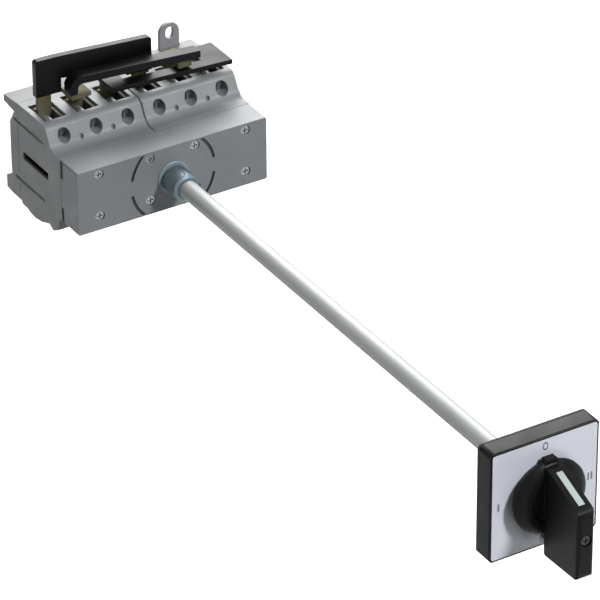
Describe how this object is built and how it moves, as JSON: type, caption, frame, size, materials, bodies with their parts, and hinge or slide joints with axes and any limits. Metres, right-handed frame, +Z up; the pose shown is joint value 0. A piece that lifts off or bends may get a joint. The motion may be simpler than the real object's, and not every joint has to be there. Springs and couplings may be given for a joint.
{
  "type": "changeover switch",
  "caption": "Modular changeover switch with insulated bridging bars, long extension shaft and square door-mounted rotary handle.",
  "frame": {"origin": "on the shaft axis, in the plane of the rear feet that stands on the mounting panel, at the middle of the rail channel's mouth", "axes": "+Y to the rear, out of the mounting plane (the shaft and handle point to -Y); +Z up; +X to the right seen from the handle"},
  "size_m": [0.135, 0.5455, 0.123],
  "materials": {
    "housing": "moulded, fine texture",
    "cover": "moulded, fine texture",
    "base": "moulded, fine texture",
    "bush": "smooth moulded",
    "screw_zinc": "zinc plated",
    "mechanism_steel": "zinc plated sheet",
    "clamp_steel": "zinc plated",
    "contact_copper": "tinned copper, dulled",
    "bar_sleeve": "smooth black sleeve",
    "ear_plastic": "moulded",
    "latch_plastic": "moulded",
    "spring_steel": "bright wire",
    "carriage_plastic": "glass-filled moulding",
    "coupling_metal": "passivated zinc casting",
    "shaft_zinc": "bright zinc plated",
    "handle_black": "fine moulded texture",
    "plate_silver": "satin silver-grey",
    "gasket_rubber": "foam seal",
    "inlay_white": "satin",
    "tab_steel": "zinc plated sheet"
  },
  "bodies": {
    "switch_body": {"left_housing": "housing", "right_housing": "housing", "left_base": "base", "right_base": "base", "base_screws": "screw_zinc", "mechanism_plate": "mechanism_steel", "front_cover": "cover", "shaft_bush": "bush", "cover_screws": "screw_zinc", "upper_clamps": "clamp_steel", "lower_clamps": "clamp_steel", "upper_clamp_screws": "screw_zinc", "lower_clamp_screws": "screw_zinc", "upper_contacts": "contact_copper", "lower_contacts": "contact_copper", "rear_busbar": "contact_copper", "middle_busbar": "contact_copper", "front_busbar": "contact_copper", "rear_bar_sleeve": "bar_sleeve", "middle_bar_sleeve": "bar_sleeve", "front_bar_sleeve": "bar_sleeve", "mounting_ears": "ear_plastic", "detent_plungers": "mechanism_steel", "detent_springs": "spring_steel", "left_latch_spring": "spring_steel", "right_latch_spring": "spring_steel"},
    "left_latch": {"left_latch": "latch_plastic"},
    "right_latch": {"right_latch": "latch_plastic"},
    "shaft": {"drive_shaft": "mechanism_steel", "detent_disc": "mechanism_steel", "shaft_coupling": "coupling_metal", "coupling_screws": "screw_zinc", "extension_shaft": "shaft_zinc", "shaft_pin": "mechanism_steel"},
    "slide": {"changeover_slide": "mechanism_steel", "left_carriage": "carriage_plastic", "right_carriage": "carriage_plastic", "moving_bridges": "contact_copper", "bridge_springs": "spring_steel"},
    "door_unit": {"door_plate": "handle_black", "face_plate": "plate_silver", "door_gasket": "gasket_rubber"},
    "handle": {"knob": "handle_black", "pointer_inlay": "inlay_white", "drive_sleeve": "mechanism_steel", "retaining_clip": "spring_steel", "grip_screw": "screw_zinc"},
    "padlock_tab": {"padlock_tab": "tab_steel"}
  },
  "joints": [
    {"name": "shaft_turn", "type": "hinge", "parent": "switch_body", "child": "shaft", "pos_m": [0, -0.09, 0], "axis": [0, 1, 0], "range_deg": [-90, 90]},
    {"name": "contact_slide", "type": "slide", "parent": "switch_body", "child": "slide", "axis": [1, 0, 0], "range_m": [-0.0063, 0.0063]},
    {"name": "door_pull", "type": "slide", "parent": "switch_body", "child": "door_unit", "axis": [0, -1, 0], "range_m": [0, 0.03]},
    {"name": "handle_turn", "type": "hinge", "parent": "door_unit", "child": "handle", "pos_m": [0, -0.5, 0], "axis": [0, 1, 0], "range_deg": [-90, 90]},
    {"name": "padlock_pull", "type": "slide", "parent": "handle", "child": "padlock_tab", "axis": [0, 0, -1], "range_m": [0, 0.012]},
    {"name": "left_latch_pull", "type": "slide", "parent": "switch_body", "child": "left_latch", "axis": [0, 0, -1], "range_m": [0, 0.004], "stiffness_N_per_m": 1500, "springref_m": -0.002, "deforming": ["left_latch_spring"]},
    {"name": "right_latch_pull", "type": "slide", "parent": "switch_body", "child": "right_latch", "axis": [0, 0, -1], "range_m": [0, 0.004], "stiffness_N_per_m": 1500, "springref_m": -0.002, "deforming": ["right_latch_spring"]}
  ],
  "couplings": [
    {"joint": "contact_slide", "follows": "shaft_turn", "m_per_rad": 0.004},
    {"joint": "handle_turn", "follows": "shaft_turn", "ratio": 1}
  ]
}
